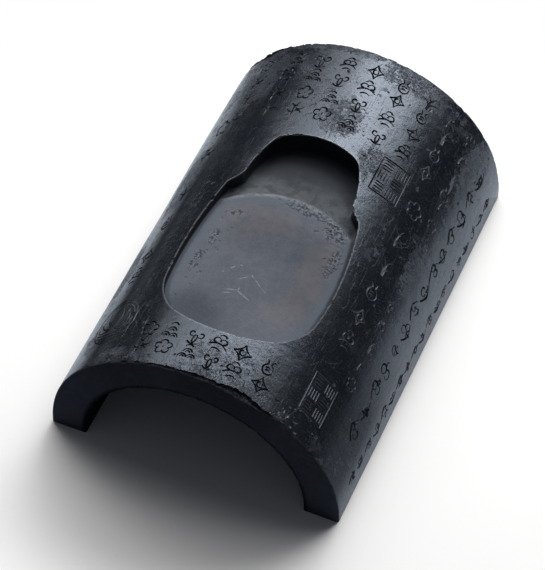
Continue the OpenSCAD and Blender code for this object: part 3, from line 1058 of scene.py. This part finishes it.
# Painted shadow along the foot of the right wall, and dust and dark pits where the bed is pitted.
PITTED = [
    (12, 119, 15, 4.0), (26, 113, 6, 7), (31, 97, 3, 10), (-30, 72, 2.6, 8), (-27.5, 88, 2.2, 5),
    (-24, 106, 5, 2),
]
RIGHT_WALL_SHADOW = (0.030, 0.034, 0.040)
PIT_DUST = (0.19, 0.20, 0.22)
PIT_FLOOR = (0.040, 0.045, 0.053)
right_wall_shadow = (1 - step(rim + (middling - 0.5) * 1.2, 1.7, 3.2)) * step(x, -60.0, -10.0)
bed = blend(right_wall_shadow * 0.8, bed, RIGHT_WALL_SHADOW)
pitted = None
for at_x, at_front, wide, long in PITTED:
    across, along = (x - at_x) / wide, (from_front - at_front) / long
    spot = 1 - step(across * across + along * along + (middling - 0.5) * 2.0, 0.4, 1.3)
    pitted = spot if pitted is None else pitted.math("MAXIMUM", spot)
pits = pitted * step(grain(mm, 0.75, 3, 0.5), 0.50, 0.57)
bed = blend(pitted * step(small, 0.45, 0.6) * 0.5, bed, PIT_DUST)
bed = blend(pits * 0.8, bed, PIT_FLOOR)

# Pale nicks in the middle of the bed: across, from the front end, length, width, turn.
NICKS = [
    (-10.5, 72.0, 2.6, 0.35, 50), (-7.0, 74.5, 1.3, 0.3, -20), (-3.2, 67.5, 4.2, 0.28, 38),
    (0.8, 70.0, 2.2, 0.35, -32), (4.6, 67.0, 5.0, 0.2, -40), (-5.5, 59.0, 6.5, 0.3, 14),
    (-1.0, 58.5, 5.5, 0.28, -18), (2.0, 57.0, 6.0, 0.28, -22), (-2.5, 60.5, 2.6, 0.25, 80),
    (-7.0, 56.5, 4.5, 0.25, 18), (-14.0, 68.0, 1.6, 0.3, 70), (9.0, 64.0, 3.5, 0.15, -35),
]
FRESH_NICK = (0.26, 0.28, 0.31)
nicked = None
for at_x, at_front, long, wide, turn in NICKS:
    c, s = math.cos(math.radians(turn)), math.sin(math.radians(turn))
    side, ahead = x - at_x, from_front - at_front
    along, off = side * c + ahead * s, ahead * c - side * s
    stroke = 1 - step(along * along / (long * long / 4) + off * off / (wide * wide), 0.5, 1.6)
    nicked = stroke if nicked is None else nicked.math("MAXIMUM", stroke)
bed = blend(nicked * step(small, 0.35, 0.5) * 0.7, bed, FRESH_NICK)

# The well's floor is blotched with dried ink, and painted darker towards its deep end as shade under
# the back wall.
WELL_RIGHT = (0.080, 0.088, 0.099)
WELL_LEFT = (0.092, 0.100, 0.108)
WELL_PALE = (0.115, 0.127, 0.126)
WELL_BLOTCH = (0.042, 0.047, 0.050)
WELL_PAINTED_SHADE = (0.034, 0.037, 0.042)
WALLS_PAINTED_SHADE = (0.022, 0.024, 0.028)
pool = blend(step(x + (patchy - 0.5) * 30, 16.0, -12.0), WELL_RIGHT, WELL_LEFT)
pool = blend(step(middling, 0.46, 0.60) * 0.35, pool, WELL_PALE)
blotch = step(fractal + step(from_front, 104, 126) * 0.08, 0.54, 0.66)
pool = blend(blotch * 0.6, pool, WELL_BLOTCH)
pool = blend(step(from_front + (patchy - 0.5) * 22, 120, 146), pool, WELL_PAINTED_SHADE)
# The recess walls are painted dark as shade.
hollow = blend(on_floor, WALLS_PAINTED_SHADE, blend(well, bed, pool))
colour = blend(inside, skin, hollow)
# The rim's edge is painted pale, as wear and a painted highlight.
colour = blend(worn_lit_rim * 0.65, colour, WORN_LIT_EDGE)

skin_rough = 0.27 + (broad - 0.5) * 0.10 + (middling - 0.5) * 0.10 + (small - 0.5) * 0.08
skin_rough = skin_rough + scratch * 0.16 + pock * 0.10 + matte * 0.12 + crust * 0.06
skin_rough = skin_rough + flake * (0.06 + (small - 0.5) * 0.5) + groove * 0.2 + underside * 0.2
bed_rough = 0.66 + (middling - 0.5) * 0.12
rough = skin_rough * (1 - inside) + bed_rough * inside

left_side = step(angle, -55, -45) * (1 - step(angle, -46, -36))
left_side = left_side * (1 - 0.6 * step(from_front, 120, 190))
front_right = step(angle, 42, 55) * (1 - step(angle, 72, 88)) * (1 - step(from_front, 30, 90))
dull = end_face.math("MAXIMUM", left_side * 0.85).math("MAXIMUM", front_right * 0.6)
dull = dull.math("MAXIMUM", groove * 0.85).math("MAXIMUM", underside * 0.8)
dull = dull * (1 - inside) + inside * 0.9

skin_height = (patchy - 0.5) * 0.24 + (middling - 0.5) * 0.09 + (small - 0.5) * 0.035
skin_height = skin_height + (tiny - 0.5) * 0.012 + matte * (small - 0.5) * 0.10
skin_height = skin_height - scratch * 0.025 - flake * (0.10 + (small - 0.5) * 0.40)
skin_height = skin_height - crust * matte * 0.10 - speck * 0.12 - pock * 0.16 - crack * 0.06
bed_height = (small - 0.5) * 0.06 + (middling - 0.5) * 0.06 - pits * 0.22
height = skin_height * (1 - inside) + bed_height * inside
relief = height.node("ShaderNodeBump", {}, {"Strength": 1.0, "Distance": MM, "Height": height})

for shader in (polished, unpolished):
    tree.links.new(colour.socket, shader.inputs["Base Color"])
    tree.links.new(rough.socket, shader.inputs["Roughness"])
    tree.links.new(relief.socket, shader.inputs["Normal"])
finishes = [Wire(tree, shader.outputs["BSDF"]) for shader in (polished, unpolished)]
both = dull.node("ShaderNodeMixShader", {}, [dull, *finishes])
tree.links.new(both.socket, tree.nodes["Material Output"].inputs["Surface"])
body.materials.clear()
body.materials.append(polish)

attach(stone, "root")
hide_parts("stone")
